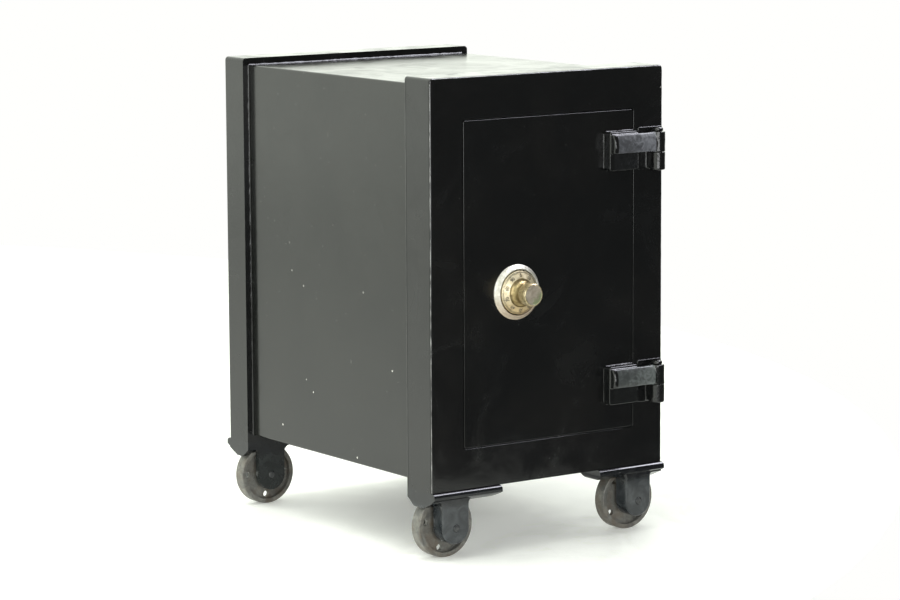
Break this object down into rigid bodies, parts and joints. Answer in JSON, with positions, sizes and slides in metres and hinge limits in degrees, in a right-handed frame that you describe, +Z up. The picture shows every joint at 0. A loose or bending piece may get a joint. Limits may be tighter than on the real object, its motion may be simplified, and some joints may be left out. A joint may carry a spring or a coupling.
{
  "type": "floor safe",
  "caption": "Fire-resistant steel floor safe on cast-iron casters, with a hinged combination-lock door, stepped jamb and an inner shelf.",
  "frame": {"origin": "on the floor, below the middle of the whole object's box", "axes": "+Z up, the door faces -Y, +X is to the right of someone facing the door"},
  "size_m": [0.3538, 0.4976, 0.5782],
  "materials": {
    "black_paint": "gloss",
    "inner_paint": "satin",
    "painted_screws": "satin",
    "bracket_iron": "gloss",
    "wheel_iron": "satin",
    "bare_steel": "satin",
    "nickel": "satin",
    "dial_brass": "satin",
    "knob_brass": "satin",
    "lock_brass": "satin",
    "lock_case_iron": "matte",
    "fire_cement": "matte"
  },
  "bodies": {
    "safe_body": {"front_frame": "black_paint", "rear_frame": "black_paint", "outer_shell": "black_paint", "back_plate": "black_paint", "back_plate_screws": "painted_screws", "body_fill": "fire_cement", "door_jamb": "inner_paint", "strike_block": "bare_steel", "inner_liner": "inner_paint", "shelf": "inner_paint", "shelf_supports": "inner_paint", "upper_hinge_leaf": "black_paint", "upper_hinge_pin": "black_paint", "lower_hinge_leaf": "black_paint", "lower_hinge_pin": "black_paint", "hinge_leaf_bolts": "painted_screws", "bracket_screws": "painted_screws", "front_left_bracket": "bracket_iron", "front_left_axle": "wheel_iron", "front_right_bracket": "bracket_iron", "front_right_axle": "wheel_iron", "rear_left_bracket": "bracket_iron", "rear_left_axle": "wheel_iron", "rear_right_bracket": "bracket_iron", "rear_right_axle": "wheel_iron"},
    "door": {"door_plate": "black_paint", "door_pan": "inner_paint", "door_fill": "fire_cement", "inner_cover": "inner_paint", "inner_cover_screws": "bare_steel", "upper_hinge_strap": "black_paint", "lower_hinge_strap": "black_paint", "hinge_strap_bolts": "painted_screws", "dial_ring": "nickel", "lock_case": "lock_case_iron", "lock_cover": "lock_case_iron", "lock_screws": "bare_steel", "wheel_post": "lock_brass", "wheel_spacers": "lock_brass"},
    "dial": {"dial": "dial_brass", "knob": "knob_brass", "spindle": "bare_steel", "drive_cam": "lock_brass"},
    "tumbler_1": {"tumbler_1": "lock_brass"},
    "tumbler_2": {"tumbler_2": "lock_brass"},
    "tumbler_3": {"tumbler_3": "lock_brass"},
    "bolt": {"bolt": "lock_brass", "lever_screw": "bare_steel"},
    "lever": {"lever": "lock_brass"},
    "front_left_wheel": {"front_left_wheel": "wheel_iron"},
    "front_right_wheel": {"front_right_wheel": "wheel_iron"},
    "rear_left_wheel": {"rear_left_wheel": "wheel_iron"},
    "rear_right_wheel": {"rear_right_wheel": "wheel_iron"}
  },
  "joints": [
    {"name": "door_swing", "type": "hinge", "parent": "safe_body", "child": "door", "pos_m": [0.1563, -0.2265, 0.33005], "axis": [0, 0, 1], "range_deg": [0, 180]},
    {"name": "dial_spin", "type": "hinge", "parent": "door", "child": "dial", "pos_m": [-0.0487, -0.2135, 0.3165], "axis": [0, -1, 0], "continuous": true},
    {"name": "tumbler_1_spin", "type": "hinge", "parent": "door", "child": "tumbler_1", "pos_m": [-0.0487, -0.1875, 0.3165], "axis": [0, -1, 0], "continuous": true},
    {"name": "tumbler_2_spin", "type": "hinge", "parent": "door", "child": "tumbler_2", "pos_m": [-0.0487, -0.1875, 0.3165], "axis": [0, -1, 0], "continuous": true},
    {"name": "tumbler_3_spin", "type": "hinge", "parent": "door", "child": "tumbler_3", "pos_m": [-0.0487, -0.1875, 0.3165], "axis": [0, -1, 0], "continuous": true},
    {"name": "bolt_throw", "type": "slide", "parent": "door", "child": "bolt", "axis": [-1, 0, 0], "range_m": [0, 0.016]},
    {"name": "lever_lift", "type": "hinge", "parent": "bolt", "child": "lever", "pos_m": [-0.0787, -0.1735, 0.3225], "axis": [0, -1, 0], "range_deg": [0, 4]},
    {"name": "front_left_wheel_spin", "type": "hinge", "parent": "safe_body", "child": "front_left_wheel", "pos_m": [-0.13826, -0.18325, 0.03866], "axis": [0, 1, 0], "continuous": true},
    {"name": "front_right_wheel_spin", "type": "hinge", "parent": "safe_body", "child": "front_right_wheel", "pos_m": [0.13826, -0.18325, 0.03866], "axis": [0, 1, 0], "continuous": true},
    {"name": "rear_left_wheel_spin", "type": "hinge", "parent": "safe_body", "child": "rear_left_wheel", "pos_m": [-0.13826, 0.21655, 0.03866], "axis": [0, 1, 0], "continuous": true},
    {"name": "rear_right_wheel_spin", "type": "hinge", "parent": "safe_body", "child": "rear_right_wheel", "pos_m": [0.13826, 0.21655, 0.03866], "axis": [0, 1, 0], "continuous": true}
  ],
  "couplings": [
    {"joint": "tumbler_1_spin", "follows": "dial_spin", "ratio": 1},
    {"joint": "tumbler_2_spin", "follows": "dial_spin", "ratio": 1},
    {"joint": "tumbler_3_spin", "follows": "dial_spin", "ratio": 1}
  ]
}
